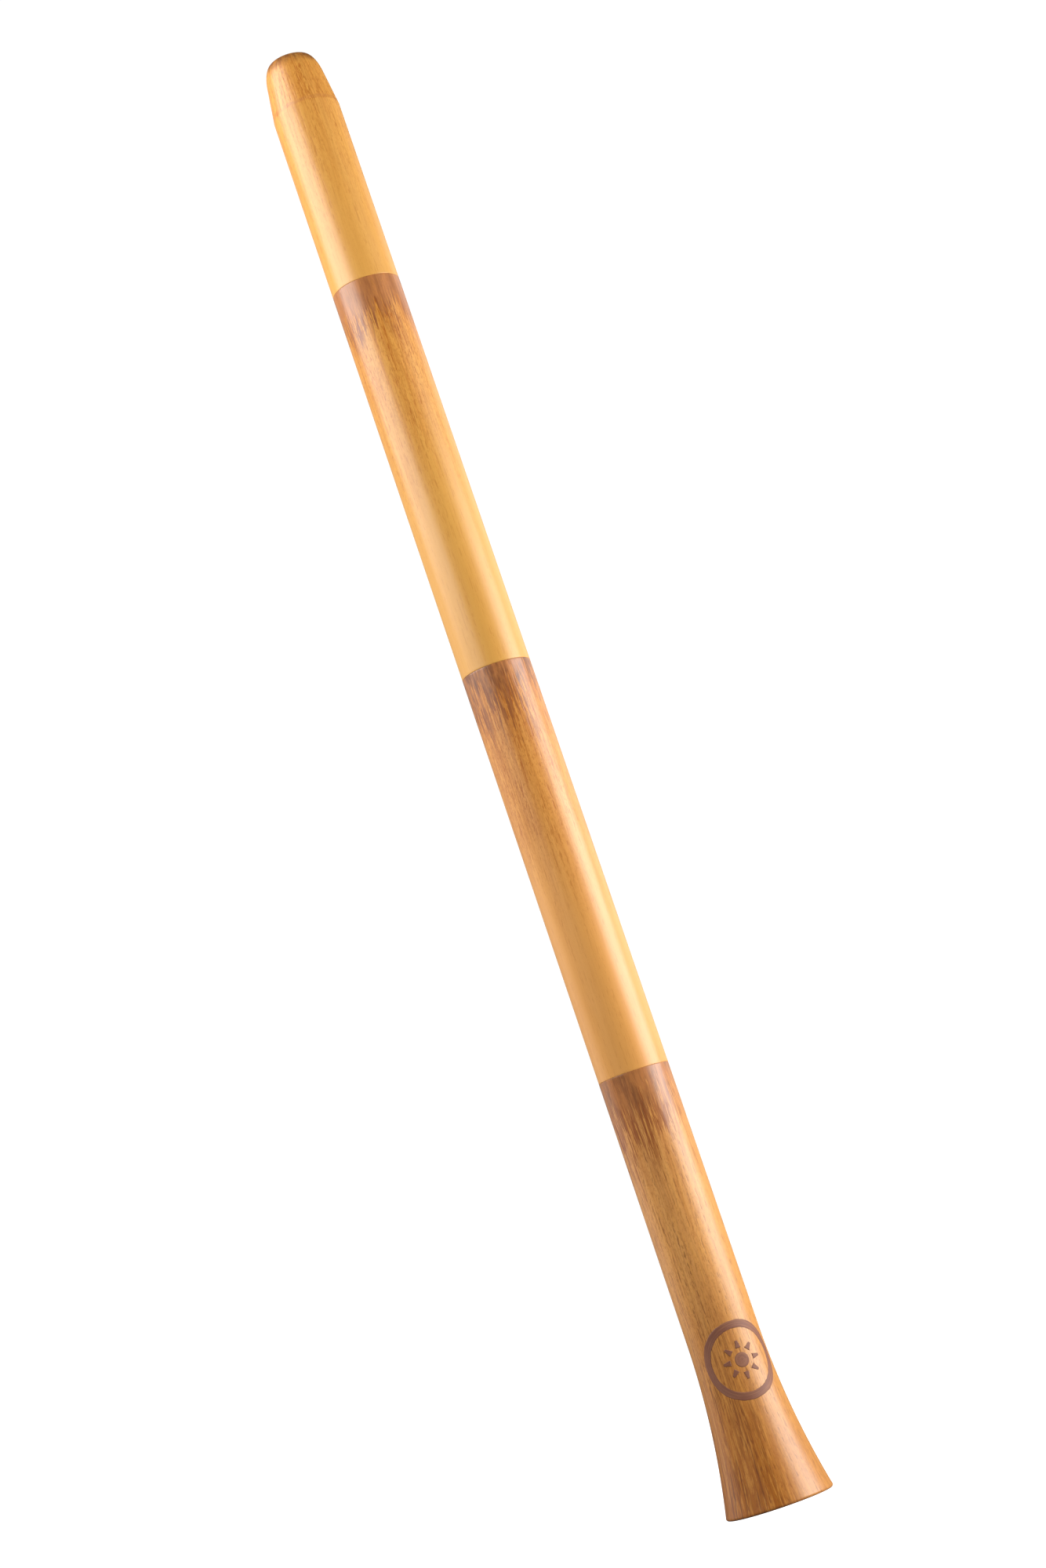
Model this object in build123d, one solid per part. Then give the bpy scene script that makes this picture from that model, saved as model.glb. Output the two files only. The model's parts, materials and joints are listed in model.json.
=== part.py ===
from build123d import *
from math import cos, pi, sin, sqrt
import os

# Didgeridoo of plastic pipe, built up from four lengths that are butted together over inner sleeves.
# Frame: the tube stands upright on its bell. The origin is the centre of the bell's rim, +Z runs up the
# bore to the mouthpiece, and the painted emblem faces -Y. All dimensions are in millimetres.

# ---- Driving dimensions ----
total_length = 1300.0
bell_section = 362.0        # bell tube, from the rim up to the first joint
middle_section = 358.0      # each of the two middle tubes

tube_radius = 30.0
tube_wall = 3.5
edge_ease = 0.35            # eased outer edge at each butt joint, which leaves a fine groove

flare_height = 141.0        # the bell starts to open this far above the rim
rim_radius = 45.5
rim_wall = 3.6
rim_outer_round = 1.8
rim_inner_round = 0.6

neck_drop = 52.0            # neck of the mouthpiece below the lip
shoulder_radius = 25.7      # where the cone turns into the rounded shoulder
shoulder_drop = 17.6
lip_radius = 16.5           # crest of the lip
lip_round = 2.5             # rounding from the crest into the blowing hole
cone_pull = 8.3             # how far the cone's direction carries into the shoulder
lip_pull = 4.7              # how far the crest's direction carries into the shoulder
blow_hole_length = 17.5
spigot_length = 25.0
spigot_wall = 3.0
spigot_chamfer = 0.8

sleeve_length = 70.0
sleeve_wall = 2.5
sleeve_lead_in = 1.5

film_thickness = 0.2        # paint of the emblem
emblem_height = 117.0       # centre of the emblem above the rim
ring_outer_radius = 32.0
ring_inner_radius = 25.6
sun_disc_radius = 6.0
ray_count = 8
ray_inner_radius = 8.6
ray_outer_radius = 14.6
ray_inner_half_width = 2.3
ray_outer_half_width = 0.9
outline_points = 24         # points on each closed curve of the emblem

# ---- Derived heights and radii ----
bore_radius = tube_radius - tube_wall
sleeve_bore_radius = bore_radius - sleeve_wall
blow_hole_radius = lip_radius - lip_round
lower_joint = bell_section
middle_joint = lower_joint + middle_section
upper_joint = middle_joint + middle_section
neck_height = total_length - neck_drop
shoulder_height = total_length - shoulder_drop


def revolved(*edges):
    """Solid of revolution about Z from a closed outline of edges in (radius, height)."""
    profile = make_face(Curve() + [*edges])
    return revolve(Plane.XZ * profile, Axis.Z, 360)


def closed_polyline(*points):
    """Straight closed outline through points in (radius, height)."""
    return Polyline(*points, close=True)


def plain_tube(low, high):
    """Straight length of pipe with eased outer edges at both ends."""
    return revolved(closed_polyline(
        (bore_radius, low),
        (tube_radius - edge_ease, low),
        (tube_radius, low + edge_ease),
        (tube_radius, high - edge_ease),
        (tube_radius - edge_ease, high),
        (bore_radius, high),
    ))


def upper_tube():
    """Top length of pipe. Its upper end meets the mouthpiece flush, so only the lower edge is eased."""
    return revolved(closed_polyline(
        (bore_radius, upper_joint),
        (tube_radius - edge_ease, upper_joint),
        (tube_radius, upper_joint + edge_ease),
        (tube_radius, neck_height),
        (bore_radius, neck_height),
    ))


def bell_tube():
    """Last length of pipe, flared at its foot along one arc inside and one outside."""
    inner_rim_radius = rim_radius - rim_wall
    outside = TangentArc((tube_radius, flare_height), (rim_radius, 0), tangent=(0, -1))
    inside = TangentArc((bore_radius, flare_height), (inner_rim_radius, 0), tangent=(0, -1))
    straight = Polyline(
        (tube_radius, flare_height),
        (tube_radius, bell_section - edge_ease),
        (tube_radius - edge_ease, bell_section),
        (bore_radius, bell_section),
        (bore_radius, flare_height),
    )
    rim = Line((inner_rim_radius, 0), (rim_radius, 0))
    profile = make_face(Curve() + [outside, straight, inside, rim])
    foot = profile.vertices().group_by(Axis.Y)[0].sort_by(Axis.X)
    profile = fillet(foot[-1], rim_outer_round)
    foot = profile.vertices().group_by(Axis.Y)[0].sort_by(Axis.X)
    profile = fillet(foot[0], rim_inner_round)
    return revolve(Plane.XZ * profile, Axis.Z, 360)


def mouthpiece():
    """Cone with a rounded shoulder and lip, a blowing hole that opens downwards, and a spigot."""
    cone_side = Vector(shoulder_radius - tube_radius, shoulder_height - neck_height).normalized()
    shoulder = Vector(shoulder_radius, shoulder_height)
    crest = Vector(lip_radius, total_length)
    cone = Line((tube_radius, neck_height), shoulder)
    dome = Bezier(shoulder, shoulder + cone_side * cone_pull, crest + Vector(lip_pull, 0), crest)
    hole_top = total_length - lip_round
    lip = RadiusArc(crest, (blow_hole_radius, hole_top), -lip_round)
    spigot_end = neck_height - spigot_length
    inside_and_spigot = Polyline(
        (blow_hole_radius, hole_top),
        (blow_hole_radius, hole_top - blow_hole_length),
        (bore_radius - spigot_wall, spigot_end),
        (bore_radius - spigot_chamfer, spigot_end),
        (bore_radius, spigot_end + spigot_chamfer),
        (bore_radius, neck_height),
        (tube_radius, neck_height),
    )
    return revolved(cone, dome, lip, inside_and_spigot)


def sleeve(joint_height):
    """Coupling sleeve glued half into each of the two lengths that meet at joint_height."""
    low = joint_height - sleeve_length / 2
    high = joint_height + sleeve_length / 2
    return revolved(closed_polyline(
        (bore_radius, low),
        (bore_radius, high),
        (sleeve_bore_radius + sleeve_lead_in, high),
        (sleeve_bore_radius, high - sleeve_lead_in),
        (sleeve_bore_radius, low + sleeve_lead_in),
        (sleeve_bore_radius + sleeve_lead_in, low),
    ))


def outer_radius_at(height):
    """Outside radius of the bell tube at a height above the rim."""
    if height >= flare_height:
        return tube_radius
    opening = rim_radius - tube_radius
    arc_radius = (flare_height**2 + opening**2) / (2 * opening)
    return tube_radius + arc_radius - sqrt(arc_radius**2 - (flare_height - height)**2)


def wrapped(across, up):
    """Point of the emblem, laid flat, as it stands seen from the front when wrapped on the bell tube."""
    height = emblem_height + up
    radius = outer_radius_at(height)
    return (radius * sin(across / radius), height)


def wrapped_disc(radius):
    """Face of a circle of this radius wrapped on the bell tube, seen from the front."""
    angles = [2 * pi * step / outline_points for step in range(outline_points)]
    return make_face(Spline(*[wrapped(radius * cos(a), radius * sin(a)) for a in angles], periodic=True))


def ray(number):
    """Face of one tapered ray of the sun."""
    angle = 2 * pi * number / ray_count

    def corner(along, aside):
        return wrapped(
            along * cos(angle) - aside * sin(angle),
            along * sin(angle) + aside * cos(angle),
        )

    return make_face(Polyline(
        corner(ray_inner_radius, -ray_inner_half_width),
        corner(ray_outer_radius, -ray_outer_half_width),
        corner(ray_outer_radius, ray_outer_half_width),
        corner(ray_inner_radius, ray_inner_half_width),
        close=True,
    ))


def paint_skin():
    """Skin of one film thickness over the outside of the bell tube, above and below the emblem."""
    skin_top = flare_height + tube_radius
    film_radius = tube_radius + film_thickness
    return revolved(
        TangentArc((tube_radius, flare_height), (rim_radius, 0), tangent=(0, -1)),
        Line((rim_radius, 0), (rim_radius + film_thickness, 0)),
        TangentArc((film_radius, flare_height), (rim_radius + film_thickness, 0), tangent=(0, -1)),
        Polyline(
            (film_radius, flare_height),
            (film_radius, skin_top),
            (tube_radius, skin_top),
            (tube_radius, flare_height),
        ),
    )


def emblem():
    """Ring with a plain sun in it, as separate patches of paint on the front of the bell tube."""
    patches = [wrapped_disc(ring_outer_radius) - wrapped_disc(ring_inner_radius)]
    patches.append(wrapped_disc(sun_disc_radius))
    patches.extend(ray(number) for number in range(ray_count))
    skin = paint_skin()
    film = []
    for patch in patches:
        column = extrude(Plane.XZ * patch, amount=rim_radius + tube_radius)
        film.extend((skin & column).solids())
    return Compound(children=film)


pieces = {
    "mouthpiece": mouthpiece(),
    "upper_tube": upper_tube(),
    "upper_middle_tube": plain_tube(middle_joint, upper_joint),
    "lower_middle_tube": plain_tube(lower_joint, middle_joint),
    "bell_tube": bell_tube(),
    "upper_sleeve": sleeve(upper_joint),
    "middle_sleeve": sleeve(middle_joint),
    "lower_sleeve": sleeve(lower_joint),
    "emblem": emblem(),
}

os.makedirs("parts", exist_ok=True)
for name, piece in pieces.items():
    export_step(piece, f"parts/{name}.step")
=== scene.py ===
import json
import logging
import math
from dataclasses import dataclass, field
from enum import Enum
from typing import NamedTuple, Sequence

import bpy
from mathutils import Matrix, Vector

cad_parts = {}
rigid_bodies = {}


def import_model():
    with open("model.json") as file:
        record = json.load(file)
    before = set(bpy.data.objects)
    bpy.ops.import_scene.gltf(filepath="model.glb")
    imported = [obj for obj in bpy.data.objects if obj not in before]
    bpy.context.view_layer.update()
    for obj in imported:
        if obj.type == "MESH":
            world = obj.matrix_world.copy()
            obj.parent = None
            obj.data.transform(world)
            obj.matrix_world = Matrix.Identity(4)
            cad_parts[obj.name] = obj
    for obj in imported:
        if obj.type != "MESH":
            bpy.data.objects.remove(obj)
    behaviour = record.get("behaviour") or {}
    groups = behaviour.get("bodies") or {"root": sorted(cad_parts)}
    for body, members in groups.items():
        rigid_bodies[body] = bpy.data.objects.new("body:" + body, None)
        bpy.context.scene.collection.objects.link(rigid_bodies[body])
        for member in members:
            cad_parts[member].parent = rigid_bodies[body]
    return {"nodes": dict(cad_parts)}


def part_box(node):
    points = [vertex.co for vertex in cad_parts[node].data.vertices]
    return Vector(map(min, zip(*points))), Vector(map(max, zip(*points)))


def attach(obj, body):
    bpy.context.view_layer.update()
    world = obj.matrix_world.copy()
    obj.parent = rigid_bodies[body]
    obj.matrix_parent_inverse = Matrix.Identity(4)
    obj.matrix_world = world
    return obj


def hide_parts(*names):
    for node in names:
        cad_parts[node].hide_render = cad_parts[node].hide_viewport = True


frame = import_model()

logging.basicConfig(level=logging.INFO, format="%(message)s")
log = logging.getLogger("didgeridoo")

Colour = tuple[float, float, float]
MILLIMETRE = 0.001
BODY = "root"
CHART_MAP = "OFBake"


class Wall(Enum):
    """The two walls of a lathe-turned piece, as the float that marks them on its profile."""

    SKIN = 1.0
    BORE = 0.0


class Slot(Enum):
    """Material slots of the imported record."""

    LACQUER = "tube_lacquer"
    PAINT = "emblem_paint"


# ---------------------------------------------------------------- node graphs


class Graph:
    """Short calls for adding and joining nodes in one shader or geometry tree."""

    def __init__(self, tree: bpy.types.NodeTree) -> None:
        """Starts an empty tree."""
        self.tree = tree
        tree.nodes.clear()

    def add(self, kind: str, **settings: object) -> bpy.types.Node:
        """Adds a node.

        Args:
            kind: The node's type name.
            **settings: Properties of the node, by name.

        Returns:
            The new node.
        """
        node = self.tree.nodes.new(kind)
        for name, value in settings.items():
            setattr(node, name, value)
        return node

    def feed(self, socket: bpy.types.NodeSocket, value: object) -> None:
        """Links an output to a socket, or sets the socket's own value.

        Args:
            socket: The input socket.
            value: An output socket, or a plain value.
        """
        if isinstance(value, bpy.types.NodeSocket):
            self.tree.links.new(value, socket)
        elif value is not None:
            socket.default_value = value

    def call(self, kind: str, inputs: dict, output: object = 0, **settings: object) -> bpy.types.NodeSocket:
        """Adds a node, feeds its inputs and returns one output.

        Args:
            kind: The node's type name.
            inputs: Values or output sockets, by input name or index.
            output: Name or index of the output wanted.
            **settings: Properties of the node, by name.

        Returns:
            The output socket.
        """
        node = self.add(kind, **settings)
        for name, value in inputs.items():
            self.feed(node.inputs[name], value)
        return node.outputs[output]

    def math(self, operation: str, first: object, second: object = None,
             third: object = None) -> bpy.types.NodeSocket:
        """Adds a Math node of up to three operands, and returns its value."""
        inputs = {0: first, 1: second, 2: third}
        return self.call("ShaderNodeMath", inputs, operation=operation)

    def ramp(self, value: object, start: object, end: object, low: object = 0.0,
             high: object = 1.0) -> bpy.types.NodeSocket:
        """Maps a value smoothly from start and end to low and high, and holds it at the ends."""
        inputs = {"Value": value, "From Min": start, "From Max": end, "To Min": low, "To Max": high}
        return self.call("ShaderNodeMapRange", inputs, interpolation_type="SMOOTHSTEP")

    def noise(self, place: object, cell: Sequence[float], seed: float, detail: float = 2.0,
              roughness: float = 0.5) -> bpy.types.NodeSocket:
        """Adds 3-D noise whose cells have a size of their own in each direction.

        Args:
            place: Position in millimetres.
            cell: Size of a cell across, across and along, in millimetres.
            seed: Offset that makes this noise differ from the others.
            detail: Octaves.
            roughness: Weight of the finer octaves.

        Returns:
            The noise, about 0.5 on average.
        """
        scaled = self.vector("MULTIPLY", place, tuple(1.0 / size for size in cell))
        moved = self.vector("ADD", scaled, (seed, seed * 0.37 + 11.0, seed * 1.71))
        inputs = {"Vector": moved, "Scale": 1.0, "Detail": detail, "Roughness": roughness}
        return self.call("ShaderNodeTexNoise", inputs, noise_dimensions="3D")

    def vector(self, operation: str, first: object, second: object = None) -> bpy.types.NodeSocket:
        """Adds a Vector Math node of one or two operands, and returns its vector."""
        return self.call("ShaderNodeVectorMath", {0: first, 1: second}, operation=operation)

    def scaled(self, vector: object, factor: object) -> bpy.types.NodeSocket:
        """A vector times a number."""
        return self.call("ShaderNodeVectorMath", {0: vector, "Scale": factor}, operation="SCALE")

    def split(self, vector: object) -> bpy.types.bpy_prop_collection:
        """The X, Y and Z outputs of a vector.

        Args:
            vector: The vector.

        Returns:
            The three outputs.
        """
        node = self.add("ShaderNodeSeparateXYZ")
        self.feed(node.inputs[0], vector)
        return node.outputs

    def joined(self, x: object, y: object, z: object) -> bpy.types.NodeSocket:
        """A vector from its X, Y and Z parts."""
        return self.call("ShaderNodeCombineXYZ", {0: x, 1: y, 2: z})

    def around_tube(self, place: object, radius: float) -> bpy.types.NodeSocket:
        """Place on a tube in millimetres, drawn onto one radius so that grain follows a flare.

        Args:
            place: Position in metres.
            radius: The radius that the place is drawn onto, in millimetres.

        Returns:
            The position in millimetres.
        """
        x, y, z = self.split(place)
        flat = self.vector("NORMALIZE", self.joined(x, y, 0.0))
        across = self.scaled(flat, radius)
        height = self.joined(0.0, 0.0, self.math("MULTIPLY", z, 1.0 / MILLIMETRE))
        return self.vector("ADD", across, height)


class Shader(Graph):
    """A material's graph, with the colour nodes that only shaders have."""

    def __init__(self, name: str) -> None:
        """Starts a material with an empty graph.

        Args:
            name: The material's name.
        """
        self.material = bpy.data.materials.new(name)
        self.material.use_nodes = True
        super().__init__(self.material.node_tree)
        self.surface = self.add("ShaderNodeBsdfPrincipled")
        output = self.add("ShaderNodeOutputMaterial")
        self.feed(output.inputs["Surface"], self.surface.outputs["BSDF"])

    def place(self) -> bpy.types.NodeSocket:
        """Object coordinates, in metres."""
        return self.add("ShaderNodeTexCoord").outputs["Object"]

    def mix(self, factor: object, first: object, second: object) -> bpy.types.NodeSocket:
        """Mixes two colours.

        Args:
            factor: Share of the second colour.
            first: First colour.
            second: Second colour.

        Returns:
            The colour.
        """
        node = self.add("ShaderNodeMix", data_type="RGBA")
        self.feed(node.inputs[0], factor)
        self.feed(node.inputs[6], opaque(first))
        self.feed(node.inputs[7], opaque(second))
        return node.outputs[2]

    def finish(self, colour: object, roughness: object, height: object, relief: float) -> bpy.types.Material:
        """Joins the patterns to the surface.

        Args:
            colour: Base colour.
            roughness: Roughness.
            height: Height of the fine relief, from 0 to 1.
            relief: Depth of the fine relief, in metres.

        Returns:
            The material.
        """
        self.feed(self.surface.inputs["Base Color"], opaque(colour))
        self.feed(self.surface.inputs["Roughness"], roughness)
        bump = self.call("ShaderNodeBump", {"Strength": 1.0, "Distance": relief, "Height": height}, "Normal")
        self.feed(self.surface.inputs["Normal"], bump)
        return self.material


def placed(name: str, data: bpy.types.ID) -> bpy.types.Object:
    """Makes an object of some data and puts it in the scene.

    Args:
        name: The object's name.
        data: Its mesh, camera or light.

    Returns:
        The object, at the origin.
    """
    made = bpy.data.objects.new(name, data)
    bpy.context.scene.collection.objects.link(made)
    return made


def opaque(colour: object) -> object:
    """A plain colour with its alpha, or an output socket as it is."""
    return (*colour, 1.0) if isinstance(colour, tuple) and len(colour) == 3 else colour


# ---------------------------------------------------------------- finishes


class Spot(NamedTuple):
    """Where a pattern is drawn: its graph, the place on the tube in millimetres, and the length's seed."""

    graph: Graph
    place: bpy.types.NodeSocket
    seed: float


@dataclass(frozen=True)
class Marks:
    """One layer of marks that run along the tube. Sizes in millimetres.

    Its noise has cells of across by along, and a mark grows where the noise goes from start to full.
    """

    across: float
    along: float
    start: float
    full: float
    seed: float
    detail: float = 2.0
    roughness: float = 0.6

    def noise(self, spot: Spot) -> bpy.types.NodeSocket:
        """The layer's noise, mostly from 0.2 to 0.8."""
        cell = (self.across, self.across, self.along)
        return spot.graph.noise(spot.place, cell, spot.seed + self.seed, self.detail, self.roughness)

    def sway(self, spot: Spot) -> bpy.types.NodeSocket:
        """The layer's noise about 0."""
        return spot.graph.math("SUBTRACT", self.noise(spot), 0.5)

    def show(self, spot: Spot, low: object = 0.0, high: object = 1.0) -> bpy.types.NodeSocket:
        """The layer's marks, from low between them to high on them."""
        return spot.graph.ramp(self.noise(spot), self.start, self.full, low, high)


@dataclass(frozen=True)
class GrainField:
    """Where the painted grain and the brown band lie on one length of tube. Sizes in millimetres.

    The band is solid down to band below the top, its brush hairs reach on by brush, and dark
    dashes trail on down to trail. The grain fades from most at reach_start to least at reach_end.
    All of it is paler on the back-right side, by up to the lean's share: painted light there, and painted
    shade on the front-left side across from it.
    """

    top: float
    band: float = 16.0
    brush: float = 26.0
    trail: float = 90.0
    reach_start: float = 60.0
    reach_end: float = 250.0
    least: float = 0.03
    most: float = 1.0
    seed: float = 1.0
    radius: float = 30.0
    # Painted light and shade by side: paint is paler by this share on the back-right side, full on the
    # front-left side.
    shade_lean: float = 0.0
    shaded_side: tuple[float, float] = (-0.87, -0.49)
    hair_tip: float = 3.0
    cloud_sway: float = 150.0
    trail_sway: float = 1.2
    bare_pores: float = 0.2
    cloud: Marks = Marks(15.0, 120.0, 0.0, 1.0, 9.3)
    clumps: Marks = Marks(9.0, 80.0, 0.0, 1.0, 5.7, 1.0)
    hairs: Marks = Marks(2.2, 80.0, 0.0, 1.0, 3.1, 2.0, 0.65)
    nibs: Marks = Marks(1.9, 16.0, 0.0, 1.0, 4.3, 1.0)
    dashes: Marks = Marks(1.15, 7.0, 0.50, 0.60, 21.0, 1.0)
    rows: Marks = Marks(1.7, 130.0, 0.50, 0.62, 25.0)

    def spot(self, graph: Graph, where: object) -> Spot:
        """The spot at a position in metres, drawn onto this length's radius."""
        return Spot(graph, graph.around_tube(where, self.radius), self.seed)

    def depth(self, spot: Spot) -> bpy.types.NodeSocket:
        """Distance below the top of the length."""
        return spot.graph.math("SUBTRACT", self.top, spot.graph.split(spot.place)[2])

    def facing(self, spot: Spot, side: tuple[float, float]) -> bpy.types.NodeSocket:
        """How squarely the skin faces a side, from 1 there to -1 across from it."""
        inputs = {0: spot.place, 1: (side[0] / self.radius, side[1] / self.radius, 0.0)}
        return spot.graph.call("ShaderNodeVectorMath", inputs, "Value", operation="DOT_PRODUCT")

    def painted_light(self, spot: Spot) -> bpy.types.NodeSocket:
        """Painted light: share by which the paint is made paler, from 0 on the front-left side painted in
        shade to the lean on the back-right side.
        """
        half = 0.5 * self.shade_lean
        return spot.graph.math("MULTIPLY_ADD", self.facing(spot, self.shaded_side), -half, half)

    def side_shaded(self, spot: Spot, strength: object) -> bpy.types.NodeSocket:
        """A strength, less the share of painted light here, so that it stays full on the front-left side
        painted in shade.
        """
        kept = spot.graph.math("SUBTRACT", 1.0, self.painted_light(spot))
        return spot.graph.math("MULTIPLY", strength, kept)

    def cover(self, spot: Spot) -> bpy.types.NodeSocket:
        """Cover of the brown band, from 1 at the top to 0 past the ragged edge that brush hairs leave.

        Args:
            spot: Where it is drawn.

        Returns:
            The cover, from 0 to 1.
        """
        graph, reach = spot.graph, self.brush
        # Painted light: the band ends higher on the back-right side, across from the side painted in shade.
        edge = graph.math("MULTIPLY_ADD", self.painted_light(spot), -reach, self.band + reach * 0.5)
        for layer, pull in ((self.clumps, 1.8), (self.hairs, 3.6), (self.nibs, 1.8)):
            edge = graph.math("MULTIPLY_ADD", layer.sway(spot), reach * pull, edge)
        past = graph.math("SUBTRACT", self.depth(spot), edge)
        return graph.ramp(past, -self.hair_tip, self.hair_tip, 1.0, 0.0)

    def fading(self, spot: Spot) -> bpy.types.NodeSocket:
        """Fades from 1 at the band to 0 where the trailing dashes end.

        Args:
            spot: Where it is drawn.

        Returns:
            The strength.
        """
        clumps = self.clumps.sway(spot._replace(seed=self.seed + 1.0))
        depth = spot.graph.math("MULTIPLY_ADD", clumps, self.trail * self.trail_sway, self.depth(spot))
        # Painted light and shade by side: the trailing dashes are paler on the back-right side.
        return self.side_shaded(spot, spot.graph.ramp(depth, self.band, self.trail, 1.0, 0.0))

    def grain(self, spot: Spot) -> bpy.types.NodeSocket:
        """Strength of the grain from 0 to 1, which fades towards the foot of the length.

        Args:
            spot: Where it is drawn.

        Returns:
            The strength.
        """
        depth = spot.graph.math("MULTIPLY_ADD", self.cloud.sway(spot), self.cloud_sway, self.depth(spot))
        strength = spot.graph.ramp(depth, self.reach_start, self.reach_end, self.most, self.least)
        # Painted light and shade by side: the grain is paler on the back-right side.
        return self.side_shaded(spot, strength)

    def pores(self, spot: Spot, grain: object) -> bpy.types.NodeSocket:
        """Short dark dashes in rows along the tube.

        Args:
            spot: Where they are drawn.
            grain: Strength of the grain.

        Returns:
            The dashes, from 0 to 1.
        """
        strength = spot.graph.math("MULTIPLY_ADD", grain, 1.0 - self.bare_pores, self.bare_pores)
        rows = self.rows.show(spot, 0.0, strength)
        return spot.graph.math("MULTIPLY", self.dashes.show(spot), rows)


@dataclass(frozen=True)
class Palette:
    """Colours of the painted bamboo, as base colours in linear light."""

    cream: Colour = (0.650, 0.326, 0.068)
    ochre: Colour = (0.610, 0.262, 0.042)
    honey: Colour = (0.375, 0.122, 0.010)
    fleck: Colour = (0.740, 0.340, 0.070)
    umber: Colour = (0.350, 0.082, 0.005)
    brown: Colour = (0.450, 0.170, 0.050)
    smoke: Colour = (0.145, 0.048, 0.019)
    russet: Colour = (0.240, 0.070, 0.018)
    walnut: Colour = (0.165, 0.049, 0.008)
    pore: Colour = (0.350, 0.082, 0.005)


@dataclass(frozen=True)
class WoodLacquer:
    """Satin lacquer painted to look like bamboo: cream foot, ochre grain and a brushed brown band.

    Sizes in millimetres, heights above the rim. Streaks weaken from streaked to their share
    foot_least over foot_zone, and grow again to neck_most over neck_zone. Honey deepens below
    honey_top. Both are weaker by lit_side_least on lit_side, the front-right side that faces the right
    softbox: this side-to-side difference is painted light there and painted shade on the other sides.
    The mouthpiece has its crest at lip and its neck at neck, with blotches over lip_zone below the
    crest and a line neck_lift above the neck.
    """

    name: str
    field: GrainField
    palette: Palette = Palette()
    banded: bool = True
    streaked: float = 0.0
    dusk: float = 0.8
    gloss: float = 0.38
    relief: float = 0.04
    lip: float = 0.0
    lip_zone: tuple[float, float] = (14.0, 3.0)
    neck: float = 0.0
    neck_lift: float = 2.2
    neck_sway: float = 3.0
    neck_line: tuple[float, float] = (0.5, 2.6)
    # Painted light and shade by side: honey and streaks are paler on the front-right side that faces the
    # right softbox.
    lit_side: tuple[float, float] = (0.60, -0.80)
    lit_side_edge: tuple[float, float] = (0.55, 0.95)
    lit_side_least: float = 0.4
    honey_top: float = 215.0
    foot_zone: tuple[float, float] = (100.0, 190.0)
    foot_least: float = 0.15
    neck_zone: tuple[float, float] = (200.0, 300.0)
    neck_most: float = 0.3
    stripes: Marks = Marks(4.2, 200.0, 0.36, 0.64, 31.0, 2.0, 0.5)
    haze: Marks = Marks(13.0, 90.0, 0.42, 0.70, 33.0)
    threads: Marks = Marks(1.6, 34.0, 0.46, 0.62, 43.0)
    glints: Marks = Marks(1.5, 24.0, 0.50, 0.62, 45.0)
    pepper: Marks = Marks(1.25, 3.0, 0.50, 0.66, 41.0)
    trails: Marks = Marks(1.7, 26.0, 0.505, 0.555, 27.0)
    streaks: Marks = Marks(1.6, 50.0, 0.50, 0.57, 53.0)
    patches: Marks = Marks(7.0, 80.0, 0.38, 0.62, 57.0, 1.0)
    mottle: Marks = Marks(9.0, 26.0, 0.38, 0.62, 67.0, 3.0)
    bristles: Marks = Marks(1.7, 24.0, 0.42, 0.58, 69.0)
    gaps: Marks = Marks(1.8, 26.0, 0.49, 0.54, 61.0)
    nicks: Marks = Marks(1.1, 4.5, 0.57, 0.68, 63.0, 1.0)
    cloud: Marks = Marks(9.0, 30.0, 0.0, 1.0, 37.0, 3.0)
    blots: Marks = Marks(6.0, 6.0, 0.36, 0.66, 71.0, 3.0)
    dabs: Marks = Marks(2.6, 3.0, 0.36, 0.60, 77.0)

    def make(self) -> bpy.types.Material:
        """Builds the material.

        Returns:
            The material.
        """
        shader = Shader(self.name)
        spot = self.field.spot(shader, shader.place())
        grain = self.field.grain(spot)
        pores = self.field.pores(spot, grain)
        colour = self.ground(spot, grain)
        if self.streaked:
            colour = self.add_streaks(spot, colour)
        colour = self.add_fibres(spot, grain, pores, colour)
        if self.lip:
            colour = self.add_lip_wear(spot, colour)
        roughness = shader.math("MULTIPLY_ADD", self.cloud.sway(spot), 0.12, self.gloss)
        if self.banded:
            colour, roughness = self.add_band(spot, colour, roughness)
        height = shader.math("SUBTRACT", 1.0, pores)
        return shader.finish(colour, roughness, height, self.relief * MILLIMETRE)

    def ground(self, spot: Spot, grain: object) -> bpy.types.NodeSocket:
        """The cream ground, warmed where there is grain and toned in long soft stripes.

        Args:
            spot: Where it is drawn.
            grain: Strength of the grain.

        Returns:
            The colour.
        """
        graph, palette = spot.graph, self.palette
        stripe = self.stripes.show(spot)
        warm = graph.math("MULTIPLY", grain, graph.math("MULTIPLY_ADD", stripe, 0.5, 0.5))
        tone = graph.math("MULTIPLY", stripe, graph.math("MULTIPLY_ADD", grain, 0.10, 0.035))
        soft = self.haze.show(spot, 0.0, graph.math("MULTIPLY_ADD", grain, 0.13, 0.03))
        colour = graph.mix(warm, palette.cream, palette.ochre)
        colour = graph.mix(tone, colour, palette.umber)
        return graph.mix(soft, colour, palette.umber)

    def add_fibres(self, spot: Spot, grain: object, pores: object, colour: object) -> bpy.types.NodeSocket:
        """Adds fine threads, a peppering of dark points and the dashes.

        Args:
            spot: Where they are drawn.
            grain: Strength of the grain.
            pores: The dashes.
            colour: Colour so far.

        Returns:
            The colour.
        """
        graph, palette = spot.graph, self.palette
        layers = (
            (self.threads, 0.42, 0.02, palette.umber),
            (self.glints, 0.55, 0.03, palette.fleck),
            (self.pepper, 0.50, 0.02, palette.umber),
        )
        for marks, gain, least, paint in layers:
            strength = graph.math("MULTIPLY_ADD", grain, gain, least)
            colour = graph.mix(marks.show(spot, 0.0, strength), colour, paint)
        return graph.mix(graph.math("MULTIPLY", pores, 0.85), colour, palette.pore)

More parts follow.
